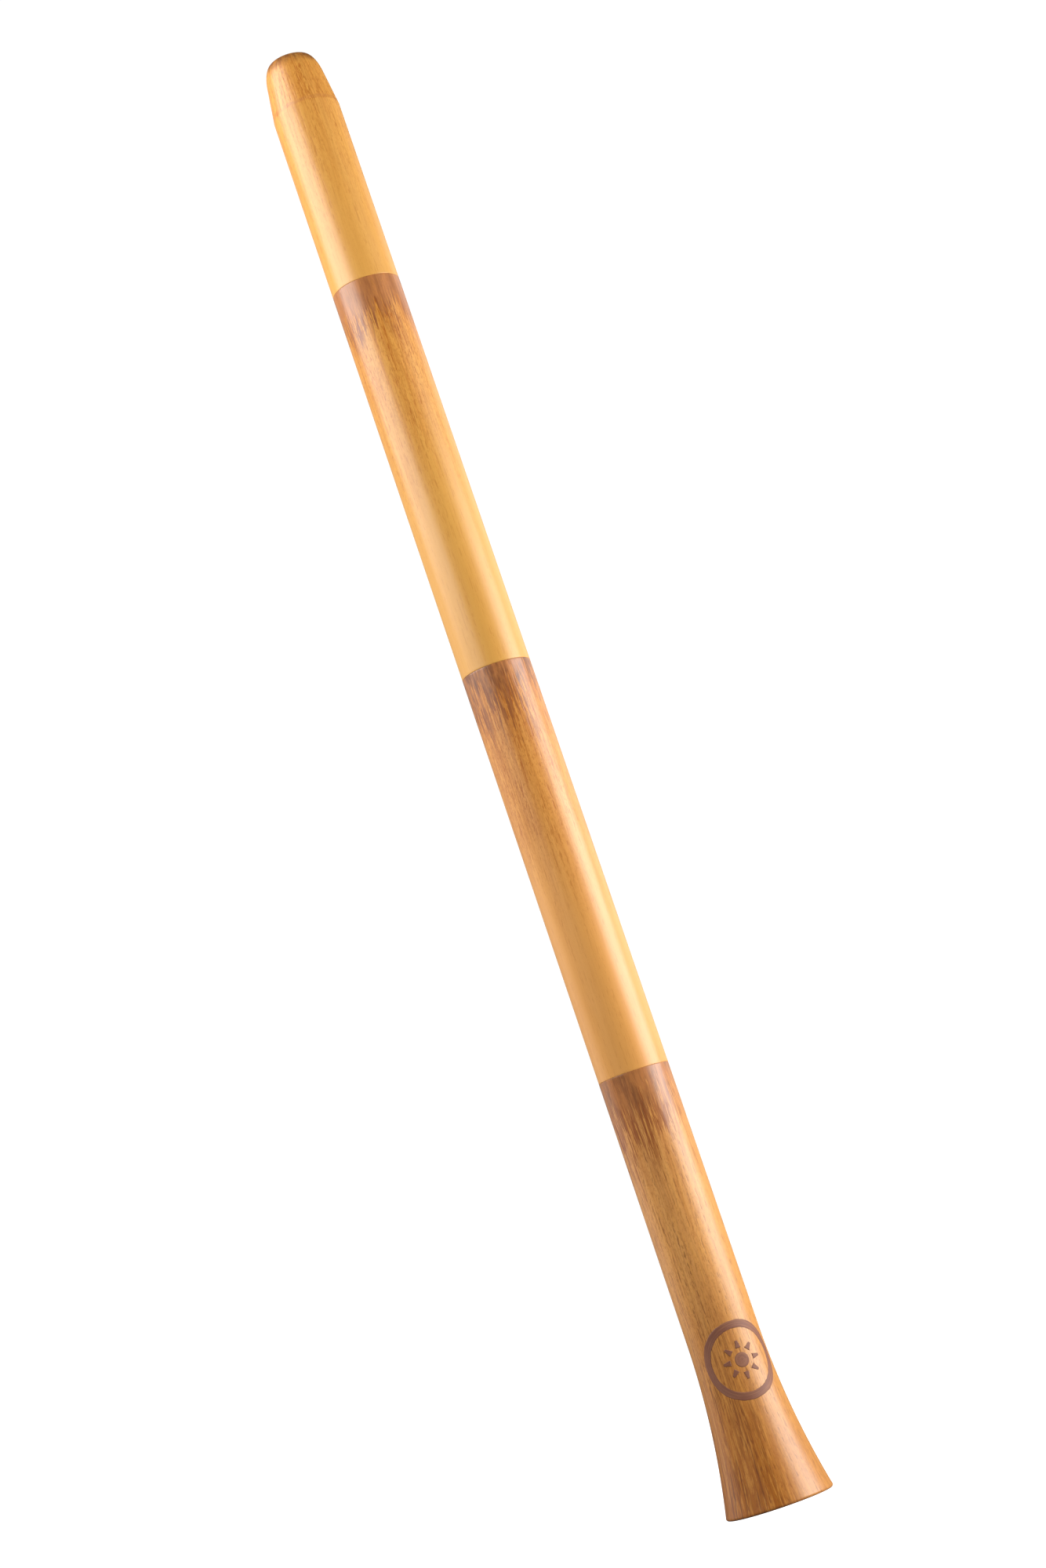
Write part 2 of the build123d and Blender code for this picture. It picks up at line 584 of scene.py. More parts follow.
    def add_streaks(self, spot: Spot, colour: object) -> bpy.types.NodeSocket:
        """Adds the long dark streaks of the bell, and the honey brown that deepens towards its rim.

        Args:
            spot: Where they are drawn.
            colour: Colour so far.

        Returns:
            The colour.
        """
        graph = spot.graph
        height = graph.split(spot.place)[2]
        # Painted light and shade by side: 1 on the sides away from the right softbox, falling towards the
        # front-right side that faces it.
        painted_side_shade = graph.ramp(self.field.facing(spot, self.lit_side), *self.lit_side_edge, 1.0, self.lit_side_least)
        deep = graph.math("MULTIPLY", graph.ramp(height, self.honey_top, 0.0), painted_side_shade)
        colour = graph.mix(deep, colour, self.palette.honey)
        low = graph.ramp(height, *self.foot_zone, self.streaked, self.streaked * self.foot_least)
        low = graph.math("MULTIPLY", low, painted_side_shade)
        high = graph.ramp(height, *self.neck_zone, 0.0, self.streaked * self.neck_most)
        near = graph.math("MAXIMUM", low, high)
        patches = self.patches.show(spot, 0.25, near)
        marks = self.streaks.show(spot, 0.0, graph.math("MULTIPLY", patches, near))
        return graph.mix(marks, colour, self.palette.walnut)

    def add_lip_wear(self, spot: Spot, colour: object) -> bpy.types.NodeSocket:
        """Adds brown blotches round the lip's crest and the uneven brown line round the neck.

        Args:
            spot: Where they are drawn.
            colour: Colour so far.

        Returns:
            The colour.
        """
        graph = spot.graph
        height = graph.split(spot.place)[2]
        near = graph.ramp(height, self.lip - self.lip_zone[0], self.lip - self.lip_zone[1])
        cover = graph.math("MULTIPLY", near, self.blots.show(spot, 0.35, 0.85))
        colour = graph.mix(cover, colour, self.palette.smoke)
        centre = graph.math("MULTIPLY_ADD", self.cloud.sway(spot), self.neck_sway, self.neck + self.neck_lift)
        off = graph.math("ABSOLUTE", graph.math("SUBTRACT", height, centre))
        line = graph.ramp(off, *self.neck_line, 1.0, 0.0)
        line = graph.math("MULTIPLY", line, self.dabs.show(spot, 0.2, 0.5))
        return graph.mix(line, colour, self.palette.brown)

    def add_band(self, spot: Spot, colour: object,
                 roughness: object) -> tuple[bpy.types.NodeSocket, bpy.types.NodeSocket]:
        """Adds the brown band, gold gaps in its dry-brushed part, and the dashes that trail below it.

        Args:
            spot: Where it is drawn.
            colour: Colour so far.
            roughness: Roughness so far.

        Returns:
            The colour and the roughness.
        """
        graph, field, palette = spot.graph, self.field, self.palette
        depth = field.depth(spot)
        fading = field.fading(spot)
        colour = graph.mix(graph.math("MULTIPLY", fading, 0.24), colour, palette.umber)
        colour = graph.mix(self.trails.show(spot, 0.0, fading), colour, palette.russet)
        worn = graph.ramp(depth, field.band * 0.6, field.band + field.brush * 0.6, 0.0, 0.95)
        bare = graph.math("MAXIMUM", self.gaps.show(spot, 0.0, worn), self.nicks.show(spot, 0.0, 0.35))
        cover = graph.math("MULTIPLY", field.cover(spot), graph.math("SUBTRACT", 1.0, bare))
        murk = graph.math("ADD", self.bristles.show(spot, 0.0, 0.4), self.mottle.show(spot, 0.0, 0.6))
        paint = graph.mix(graph.math("MULTIPLY", murk, self.dusk), palette.brown, palette.smoke)
        low = graph.ramp(depth, field.band, field.band + field.brush, 0.0, 0.8)
        paint = graph.mix(low, paint, palette.russet)
        colour = graph.mix(graph.math("MULTIPLY", cover, 0.96), colour, paint)
        return colour, graph.math("MULTIPLY_ADD", cover, -0.04, roughness)


@dataclass(frozen=True)
class BarePlastic:
    """Bare extruded plastic of the pipe's bore and the sleeves, with draw lines along the pipe."""

    name: str
    colour: Colour = (0.50, 0.42, 0.31)
    dust: Colour = (0.33, 0.26, 0.18)
    radius: float = 26.0

    def make(self) -> bpy.types.Material:
        """Builds the material.

        Returns:
            The material.
        """
        shader = Shader(self.name)
        place = shader.around_tube(shader.place(), self.radius)
        draw = shader.noise(place, (0.9, 0.9, 160.0), 71.0, 2.0)
        dust = shader.noise(place, (7.0, 7.0, 12.0), 73.0, 4.0, 0.6)
        colour = shader.mix(shader.ramp(dust, 0.45, 0.75), self.colour, self.dust)
        colour = shader.mix(shader.ramp(draw, 0.4, 0.7, 0.0, 0.25), colour, self.dust)
        roughness = shader.math("MULTIPLY_ADD", dust, 0.2, 0.45)
        return shader.finish(colour, roughness, draw, 0.03 * MILLIMETRE)


@dataclass(frozen=True)
class BrushedPaint:
    """Matte red-brown paint laid on with a dry brush, streaked along each stroke."""

    name: str
    colour: Colour = (0.205, 0.072, 0.038)
    thin: Colour = (0.300, 0.125, 0.060)

    def make(self) -> bpy.types.Material:
        """Builds the material. It reads the stroke attribute: along the stroke, across it, patch number.

        Returns:
            The material.
        """
        shader = Shader(self.name)
        stroke = shader.call("ShaderNodeAttribute", {}, "Vector", attribute_name="stroke")
        hairs = shader.noise(stroke, (22.0, 0.75, 1.0), 81.0, 3.0, 0.6)
        patch = shader.noise(stroke, (9.0, 3.0, 1.0), 83.0, 2.0)
        colour = shader.mix(shader.ramp(hairs, 0.44, 0.68, 0.0, 0.8), self.colour, self.thin)
        colour = shader.mix(shader.ramp(patch, 0.5, 0.8, 0.0, 0.3), colour, self.thin)
        roughness = shader.math("MULTIPLY_ADD", hairs, 0.2, 0.5)
        return shader.finish(colour, roughness, hairs, 0.05 * MILLIMETRE)


@dataclass(frozen=True)
class StudioFloor:
    """Pale grey floor, which glows as white as the backdrop to the camera and is clear from below."""

    name: str = "studio_floor"
    colour: Colour = (0.22, 0.22, 0.22)
    glow: float = 1.0

    def make(self) -> bpy.types.Material:
        """Builds the material.

        Returns:
            The material.
        """
        shader = Shader(self.name)
        speck = shader.noise(shader.place(), (0.02, 0.02, 0.02), 91.0, 2.0)
        roughness = shader.math("MULTIPLY_ADD", speck, 0.1, 0.8)
        material = shader.finish(self.colour, roughness, speck, 0.02 * MILLIMETRE)
        seen = shader.add("ShaderNodeLightPath").outputs["Is Camera Ray"]
        shader.feed(shader.surface.inputs["Emission Color"], (1.0, 1.0, 1.0, 1.0))
        shader.feed(shader.surface.inputs["Emission Strength"], shader.math("MULTIPLY", seen, self.glow))
        clear = shader.add("ShaderNodeBsdfTransparent")
        under = shader.add("ShaderNodeNewGeometry").outputs["Backfacing"]
        mixed = shader.add("ShaderNodeMixShader")
        shader.feed(mixed.inputs[0], under)
        shader.feed(mixed.inputs[1], shader.surface.outputs["BSDF"])
        shader.feed(mixed.inputs[2], clear.outputs["BSDF"])
        output = next(node for node in shader.tree.nodes if node.type == "OUTPUT_MATERIAL")
        shader.feed(output.inputs["Surface"], mixed.outputs["Shader"])
        return material


# ---------------------------------------------------------------- turned pieces


class Station(NamedTuple):
    """One point of a turned piece's profile, in millimetres."""

    radius: float
    height: float
    wall: Wall
    relief: float


def run(start: Station, end: Station, count: int) -> list[Station]:
    """Evenly spaced stations from start up to, but without, end.

    Args:
        start: First station.
        end: The station that the next run starts at.
        count: Number of steps.

    Returns:
        The stations.
    """
    steps = [step / count for step in range(count)]
    return [
        Station(
            start.radius + (end.radius - start.radius) * part,
            start.height + (end.height - start.height) * part,
            start.wall,
            start.relief + (end.relief - start.relief) * part,
        )
        for part in steps
    ]


def arc(centre: tuple[float, float], radius: float, start: float, end: float, count: int,
        wall: Wall = Wall.SKIN) -> list[Station]:
    """Stations on a round edge, from one angle to another, without the last.

    Args:
        centre: Radius and height of the arc's centre.
        radius: Radius of the rounding.
        start: First angle in degrees, 0 pointing outwards and 90 up.
        end: Last angle in degrees.
        count: Number of steps.
        wall: The wall that the edge belongs to.

    Returns:
        The stations.
    """
    angles = [math.radians(start + (end - start) * step / count) for step in range(count)]
    return [
        Station(centre[0] + radius * math.cos(a), centre[1] + radius * math.sin(a), wall, 0.0)
        for a in angles
    ]


class ShapeTree:
    """Geometry Nodes tree that makes one shape, with named inputs that a modifier sets."""

    def __init__(self, name: str, inputs: dict[str, str], result: str) -> None:
        """Builds the tree.

        Args:
            name: The tree's name.
            inputs: Kind of each input, by title. The first is the source's geometry.
            result: Title of the geometry that it gives.
        """
        self.tree = bpy.data.node_groups.new(name, "GeometryNodeTree")
        self.graph = Graph(self.tree)
        self.ids: dict[str, str] = {}
        sockets = self.tree.interface
        for title, kind in inputs.items():
            socket = sockets.new_socket(title, in_out="INPUT", socket_type=f"NodeSocket{kind}")
            self.ids[title] = socket.identifier
        sockets.new_socket(result, in_out="OUTPUT", socket_type="NodeSocketGeometry")
        self.inputs = self.graph.add("NodeGroupInput").outputs
        body = self.build()
        output = self.graph.add("NodeGroupOutput")
        self.graph.feed(output.inputs[0], body)

    def build(self) -> bpy.types.NodeSocket:
        """Adds the nodes and returns the finished geometry. Each kind of shape has its own."""
        raise NotImplementedError

    def named(self, name: str, kind: str) -> bpy.types.NodeSocket:
        """Value of a named attribute of one data type."""
        return self.graph.call("GeometryNodeInputNamedAttribute", {"Name": name}, "Attribute", data_type=kind)

    def store(self, body: object, name: str, kind: str, domain: str, value: object) -> bpy.types.NodeSocket:
        """Stores a value as a named attribute of one data type and domain."""
        inputs = {"Geometry": body, "Name": name, "Value": value}
        return self.graph.call("GeometryNodeStoreNamedAttribute", inputs, data_type=kind, domain=domain)

    def merged(self, body: object, distance: float) -> bpy.types.NodeSocket:
        """Merges the points that lie closer together than a distance."""
        return self.graph.call("GeometryNodeMergeByDistance", {"Geometry": body, "Distance": distance})

    def moved(self, body: object, place: object) -> bpy.types.NodeSocket:
        """Moves the points of a geometry to their places."""
        return self.graph.call("GeometryNodeSetPosition", {"Geometry": body, "Position": place})

    def smoothed(self, body: object) -> bpy.types.NodeSocket:
        """Shades the faces of a geometry smooth."""
        inputs = {"Geometry": body, "Shade Smooth": True}
        return self.graph.call("GeometryNodeSetShadeSmooth", inputs, domain="FACE")

    def realized(self, body: object) -> bpy.types.NodeSocket:
        """Makes the instances in a geometry real."""
        return self.graph.call("GeometryNodeRealizeInstances", {"Geometry": body})

    def sheet(self, columns: object, rows: object) -> tuple[bpy.types.NodeSocket, ...]:
        """A flat grid and its two coordinates from 0 to 1.

        Args:
            columns: Points in its first direction.
            rows: Points in its second direction.

        Returns:
            The mesh and its two coordinates.
        """
        grid = self.graph.add("GeometryNodeMeshGrid")
        sizes = {"Size X": 1.0, "Size Y": 1.0, "Vertices X": columns, "Vertices Y": rows}
        for name, value in sizes.items():
            self.graph.feed(grid.inputs[name], value)
        first, second, _ = self.graph.split(grid.outputs["UV Map"])
        return grid.outputs["Mesh"], first, second

    def shape(self, source: bpy.types.Object, values: dict[str, object], name: str) -> bpy.types.Object:
        """Runs the tree on a source and turns the result into a plain mesh object.

        Args:
            source: The object that the tree runs on. It is removed.
            values: Value of each input, by title.
            name: Name of the new object.

        Returns:
            The new object, at the origin.
        """
        modifier = source.modifiers.new("shape", "NODES")
        modifier.node_group = self.tree
        for title, value in values.items():
            modifier[self.ids[title]] = value
        bpy.context.view_layer.update()
        graph = bpy.context.evaluated_depsgraph_get()
        mesh = bpy.data.meshes.new_from_object(source.evaluated_get(graph), depsgraph=graph)
        mesh.name = name
        bpy.data.objects.remove(source)
        return placed(name, mesh)


class LatheTree(ShapeTree):
    """Turns a profile into a closed wall with grain cut into its skin."""

    seam = 0.004
    sharp_edge = 50.0

    def __init__(self, name: str, grain: GrainField) -> None:
        """Builds the tree.

        Args:
            name: The tree's name.
            grain: Where the grain lies.
        """
        self.grain = grain
        inputs = {
            "Profile": "Geometry",
            "Segments": "Int",
            "Stations": "Int",
            "Grain Depth": "Float",
            "Brush Depth": "Float",
            "Skin Finish": "Material",
            "Bore Finish": "Material",
        }
        super().__init__(name, inputs, "Wall")

    def build(self) -> bpy.types.NodeSocket:
        """Adds the nodes: a grid rolled round the axis, its chart, its relief and its finishes.

        Returns:
            The finished wall.
        """
        g, inputs = self.graph, self.inputs
        columns = g.math("ADD", inputs["Segments"], 1.0)
        body, around, along = self.sheet(columns, inputs["Stations"])
        last = g.math("SUBTRACT", inputs["Stations"], 1.0)
        station = g.math("ROUND", g.math("MULTIPLY", along, last))
        point = self.read(inputs["Profile"], station, "FLOAT_VECTOR", "position")
        chart = self.read(inputs["Profile"], station, "FLOAT", "chart")
        wall = self.read(inputs["Profile"], station, "FLOAT", "wall")
        relief = self.read(inputs["Profile"], station, "FLOAT", "relief")
        radius, _, height = g.split(point)
        angle = g.math("MULTIPLY", around, 2.0 * math.pi)
        rolled = g.joined(
            g.math("MULTIPLY", radius, g.math("COSINE", angle)),
            g.math("MULTIPLY", radius, g.math("SINE", angle)),
            height,
        )
        body = self.store(body, "chart_point", "FLOAT_VECTOR", "POINT", g.joined(around, chart, 0.0))
        body = self.store(body, "wall", "FLOAT", "POINT", wall)
        body = self.store(body, "relief", "FLOAT", "POINT", relief)
        body = self.moved(body, rolled)
        chart_point = self.named("chart_point", "FLOAT_VECTOR")
        body = self.store(body, CHART_MAP, "FLOAT2", "CORNER", chart_point)
        body = g.call("GeometryNodeRemoveAttribute", {"Geometry": body, "Name": "chart_point"})
        body = self.merged(body, self.seam * MILLIMETRE)
        return self.dress(self.cut_relief(body))

    def read(self, profile: object, station: object, kind: str, name: str) -> bpy.types.NodeSocket:
        """Reads the profile at a station.

        Args:
            profile: The profile's geometry.
            station: The station's number.
            kind: Data type.
            name: Attribute read, or position.

        Returns:
            The value.
        """
        g = self.graph
        if name == "position":
            value = g.add("GeometryNodeInputPosition").outputs[0]
        else:
            value = self.named(name, kind)
        node = g.add("GeometryNodeSampleIndex", data_type=kind, domain="POINT")
        g.feed(node.inputs["Geometry"], profile)
        g.feed(node.inputs["Value"], value)
        g.feed(node.inputs["Index"], station)
        return node.outputs["Value"]

    def cut_relief(self, body: object) -> bpy.types.NodeSocket:
        """Sinks the pores and the gaps between brush marks into the skin.

        Args:
            body: The geometry.

        Returns:
            The geometry.
        """
        g, grain = self.graph, self.grain
        where = g.add("GeometryNodeInputPosition").outputs[0]
        spot = grain.spot(g, where)
        sunk = g.math("MULTIPLY", grain.pores(spot, grain.grain(spot)), self.inputs["Grain Depth"])
        bare = g.math("SUBTRACT", 1.0, grain.cover(spot))
        sunk = g.math("MULTIPLY_ADD", bare, self.inputs["Brush Depth"], sunk)
        sunk = g.math("MULTIPLY", sunk, self.named("relief", "FLOAT"))
        x, y, _ = g.split(where)
        inwards = g.vector("NORMALIZE", g.joined(x, y, 0.0))
        offset = g.scaled(inwards, g.math("MULTIPLY", sunk, -1.0))
        return g.call("GeometryNodeSetPosition", {"Geometry": body, "Offset": offset})

    def dress(self, body: object) -> bpy.types.NodeSocket:
        """Marks sharp edges and gives the skin and the bore their finishes.

        Args:
            body: The geometry.

        Returns:
            The geometry.
        """
        g = self.graph
        bend = g.add("GeometryNodeInputMeshEdgeAngle").outputs["Unsigned Angle"]
        limit = math.radians(self.sharp_edge)
        sharp = g.call("FunctionNodeCompare", {"A": bend, "B": limit}, operation="GREATER_THAN")
        edges = {"Geometry": self.smoothed(body), "Selection": sharp, "Shade Smooth": False}
        body = self.realized(g.call("GeometryNodeSetShadeSmooth", edges, domain="EDGE"))
        body = g.call("GeometryNodeSetMaterial", {"Geometry": body, "Material": self.inputs["Skin Finish"]})
        middle = (Wall.SKIN.value + Wall.BORE.value) / 2.0
        marks = {"A": self.named("wall", "FLOAT"), "B": middle}
        bore = g.call("FunctionNodeCompare", marks, operation="LESS_THAN")
        inputs = {"Geometry": body, "Selection": bore, "Material": self.inputs["Bore Finish"]}
        return g.call("GeometryNodeSetMaterial", inputs)


@dataclass
class TurnedPiece:
    """A piece of the instrument that is turned from a profile and stands for one CAD node."""

    node: str
    grain: GrainField
    skin: bpy.types.Material
    bore: bpy.types.Material
    segments: int = 384
    grain_depth: float = 0.07
    brush_depth: float = 0.03
    chart_split: float = 0.86
    row: float = 2.6

    def stations(self) -> list[Station]:
        """The closed profile, skin first and downwards. Each kind of piece has its own."""
        raise NotImplementedError

    def charted(self, stations: Sequence[Station]) -> list[float]:
        """Second coordinate of the texture chart: the skin gets the large share of it.

        Args:
            stations: The profile, whose first and last stations are the same place.

        Returns:
            One number for each station.
        """
        lengths = [0.0]
        for one, two in zip(stations, stations[1:]):
            step = math.dist((one.radius, one.height), (two.radius, two.height))
            lengths.append(lengths[-1] + step)
        turn = next(i for i, s in enumerate(stations) if s.wall is Wall.BORE)
        at_turn, total = lengths[turn], lengths[-1]
        return [
            length / at_turn * self.chart_split if length <= at_turn
            else self.chart_split + (length - at_turn) / (total - at_turn) * (1.0 - self.chart_split)
            for length in lengths
        ]

    def build(self) -> bpy.types.Object:
        """Turns the profile and puts the piece in the scene.

        Returns:
            The finished piece.
        """
        stations = self.stations()
        stations.append(stations[0])
        source = self.profile_object(stations)
        values = {
            "Segments": self.segments,
            "Stations": len(stations),
            "Grain Depth": self.grain_depth * MILLIMETRE,
            "Brush Depth": self.brush_depth * MILLIMETRE,
            "Skin Finish": self.skin,
            "Bore Finish": self.bore,
        }
        piece = LatheTree(f"{self.node}_lathe", self.grain).shape(source, values, f"{self.node}_shell")
        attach(piece, BODY)
        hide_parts(self.node)
        log.info("%s: %d faces", piece.name, len(piece.data.polygons))
        return piece

    def profile_object(self, stations: Sequence[Station]) -> bpy.types.Object:
        """Makes the profile as loose points with their marks.

        Args:
            stations: The profile.

        Returns:
            An object that holds them.
        """
        mesh = bpy.data.meshes.new(f"{self.node}_profile")
        points = [(s.radius * MILLIMETRE, 0.0, s.height * MILLIMETRE) for s in stations]
        mesh.from_pydata(points, [], [])
        marks = {
            "chart": self.charted(stations),
            "wall": [s.wall.value for s in stations],
            "relief": [s.relief for s in stations],
        }
        for name, values in marks.items():
            mesh.attributes.new(name, "FLOAT", "POINT").data.foreach_set("value", values)
        return placed(mesh.name, mesh)


@dataclass
class Tube(TurnedPiece):
    """A plain length of pipe, with rounded edges where it butts against its neighbours."""

    wall: float = 3.5
    ease: float = 0.35
    ease_top: bool = True
    fade: float = 3.0
    bottom: float = 0.0
    top: float = 0.0
    radius: float = 0.0

    def __post_init__(self) -> None:
        """Takes the length's heights and its outside radius from the frame."""
        low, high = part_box(self.node)
        self.bottom, self.top = low[2] / MILLIMETRE, high[2] / MILLIMETRE
        self.radius = self.radius or high[0] / MILLIMETRE

    def skin_runs(self) -> list[Station]:
        """Outside of the length from its top edge to its bottom edge.

        Returns:
            The stations.
        """
        ease = self.ease
        inner = self.radius - ease
        made: list[Station] = []
        upper = self.top
        if self.ease_top:
            made += arc((inner, self.top - ease), ease, 90.0, 0.0, 4)
            upper -= ease
        lower = self.bottom + ease
        start = Station(self.radius, upper, Wall.SKIN, 0.0 if self.ease_top else 1.0)
        first = Station(self.radius, upper - self.fade, Wall.SKIN, 1.0)
        last = Station(self.radius, lower + self.fade, Wall.SKIN, 1.0)
        end = Station(self.radius, lower, Wall.SKIN, 0.0)
        made += run(start, first, 2)
        made += run(first, last, round((upper - lower) / self.row))
        made += run(last, end, 2)
        made += arc((inner, lower), ease, 0.0, -90.0, 4)
        return made

    def stations(self) -> list[Station]:
        """The closed profile of the length."""
        bore = self.radius - self.wall
        edge = self.radius - self.ease
        foot = Station(edge, self.bottom, Wall.SKIN, 0.0)
        inner_foot = Station(bore, self.bottom, Wall.BORE, 0.0)
        inner_top = Station(bore, self.top, Wall.BORE, 0.0)
        made = self.skin_runs()
        made += run(foot, inner_foot, 2)
        made += run(inner_foot, inner_top, 24)
        made += run(inner_top, Station(made[0].radius, self.top, Wall.BORE, 0.0), 2)
        return made


@dataclass
class BellTube(Tube):
    """The last length, whose foot flares along one arc outside and one inside."""

    flare_height: float = 141.0
    rim_radius: float = 45.455
    rim_wall: float = 3.6
    rim_outer_round: float = 1.8
    rim_inner_round: float = 0.6
    rim_gap: float = 0.6

    def __post_init__(self) -> None:
        """Takes the heights from the frame and the straight tube's radius from its neighbour."""
        self.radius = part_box("lower_middle_tube")[1][0] / MILLIMETRE
        super().__post_init__()

    def flare(self, start: float, end: float, height: float) -> float:
        """Radius of a flare at a height above the rim.

        Args:
            start: Radius of the straight part.
            end: Radius at the rim.
            height: Height above the rim.

        Returns:
            The radius.
        """
        if height >= self.flare_height:
            return start
        bend = self.bend(start, end)
        return start + bend - math.sqrt(bend**2 - (self.flare_height - height) ** 2)

    def bend(self, start: float, end: float) -> float:
        """Radius of the arc along which a wall flares from a straight radius to its radius at the rim."""
        opening = end - start
        return (self.flare_height**2 + opening**2) / (2.0 * opening)

    def outside(self, height: float) -> float:
        """Outside radius at a height above the rim."""
        return self.flare(self.radius, self.rim_radius, height)

    def rounding(self, start: float, end: float, round_: float,
                 side: int) -> tuple[tuple[float, float], float]:
        """Where the rounding of the rim's edge lies against a flare and the flat foot.

        Args:
            start: Radius of the straight part of that wall.
            end: Radius at the rim of that wall.
            round_: Radius of the rounding.
            side: 1 for the outside wall, -1 for the bore.

        Returns:
            Its centre, and the angle in degrees at which it meets the flare.
        """
        bend = self.bend(start, end)
        away = bend + side * round_
        rise = self.flare_height - round_
        radius = start + bend - math.sqrt(away**2 - rise**2)
        return (radius, round_), math.degrees(math.atan2(side * rise, side * (start + bend - radius)))

    def skin_runs(self) -> list[Station]:
        """Outside of the length from its top edge to the rim's flat."""
        round_ = self.rim_outer_round
        centre, meets = self.rounding(self.radius, self.rim_radius, round_, 1)
        joint = centre[1] + round_ * math.sin(math.radians(meets))
        made = [
            s._replace(radius=s.radius - self.radius + self.outside(s.height))
            for s in super().skin_runs()
            if s.height > joint + self.rim_gap
        ]
        return made + arc(centre, round_, meets, -90.0, 8)

    def stations(self) -> list[Station]:
        """The closed profile of the bell."""
        made = self.skin_runs()
        bore = self.radius - self.wall
        inner_rim = self.rim_radius - self.rim_wall
        round_ = self.rim_inner_round
        outer_flat = self.rounding(self.radius, self.rim_radius, self.rim_outer_round, 1)[0][0]
        centre, meets = self.rounding(bore, inner_rim, round_, -1)
        edge = arc(centre, round_, -90.0, meets, 4, Wall.BORE)
        made += run(Station(outer_flat, 0.0, Wall.SKIN, 0.0), edge[0]._replace(wall=Wall.SKIN), 2)
        made += edge
        low = round_ + round_ * math.sin(math.radians(meets))
        count = 30
        heights = [low + (self.flare_height - low) * step / count for step in range(count)]
        made += [Station(self.flare(bore, inner_rim, h), h, Wall.BORE, 0.0) for h in heights]
        inner_top = Station(bore, self.top, Wall.BORE, 0.0)
        made += run(Station(bore, self.flare_height, Wall.BORE, 0.0), inner_top, 12)
        made += run(inner_top, Station(made[0].radius, self.top, Wall.BORE, 0.0), 2)
        return made


@dataclass
class Mouthpiece(TurnedPiece):
    """Cone with a rounded shoulder and lip, a blowing hole and a spigot inside the upper tube."""

    tube_radius: float = 0.0
    neck: float = 0.0
    lip: float = 0.0
    spigot_end: float = 0.0
    wall: float = 3.5
    shoulder_radius: float = 25.7
    shoulder_drop: float = 17.6
    lip_radius: float = 16.5
    lip_round: float = 2.5
    cone_pull: float = 8.3
    lip_pull: float = 4.7
    hole_length: float = 17.5
    spigot_wall: float = 3.0
    row: float = 1.4

    def __post_init__(self) -> None:
        """Takes the piece's heights and the tube's radius from the frame."""
        low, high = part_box(self.node)
        self.spigot_end, self.lip = low[2] / MILLIMETRE, high[2] / MILLIMETRE
        tube_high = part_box("upper_tube")[1]
        self.neck = tube_high[2] / MILLIMETRE
        self.tube_radius = tube_high[0] / MILLIMETRE

    def dome(self, part: float) -> tuple[float, float]:
        """Point of the shoulder, from the lip's crest at 0 to the cone at 1.

        Args:
            part: How far along the curve.

        Returns:
            Radius and height.
        """
        shoulder = Vector((self.shoulder_radius, self.lip - self.shoulder_drop))
        cone = (shoulder - Vector((self.tube_radius, self.neck))).normalized()
        crest = Vector((self.lip_radius, self.lip))
        pulls = (crest, crest + Vector((self.lip_pull, 0.0)), shoulder + cone * self.cone_pull, shoulder)
        rest = 1.0 - part
        weights = (rest**3, 3 * rest**2 * part, 3 * rest * part**2, part**3)
        place = sum((pull * weight for pull, weight in zip(pulls, weights)), Vector((0.0, 0.0)))
        return place.x, place.y

    def stations(self) -> list[Station]:
        """The closed profile of the mouthpiece."""
        count = 22
        parts = [step / count for step in range(count)]
        made = [Station(*self.dome(part), Wall.SKIN, min(1.0, part * 3.0)) for part in parts]
        shoulder = Station(self.shoulder_radius, self.lip - self.shoulder_drop, Wall.SKIN, 1.0)
        neck = Station(self.tube_radius, self.neck, Wall.SKIN, 1.0)
        made += run(shoulder, neck, round((shoulder.height - neck.height) / self.row))
        bore = self.tube_radius - self.wall
        hole = self.lip_radius - self.lip_round
        hole_top = self.lip - self.lip_round
        hole_end = hole_top - self.hole_length
        made += run(neck._replace(relief=0.0), Station(bore, self.neck, Wall.SKIN, 0.0), 2)
        spigot_top = Station(bore, self.neck, Wall.BORE, 0.0)
        spigot_foot = Station(bore, self.spigot_end, Wall.BORE, 0.0)
        inner_foot = Station(bore - self.spigot_wall, self.spigot_end, Wall.BORE, 0.0)
        hole_foot = Station(hole, hole_end, Wall.BORE, 0.0)
        made += run(spigot_top, spigot_foot, 6)
        made += run(spigot_foot, inner_foot, 2)
        made += run(inner_foot, hole_foot, 14)
        made += run(hole_foot, Station(hole, hole_top, Wall.BORE, 0.0), 6)
        made += arc((self.lip_radius, hole_top), self.lip_round, 180.0, 90.0, 6, Wall.BORE)
        return made


# ---------------------------------------------------------------- emblem


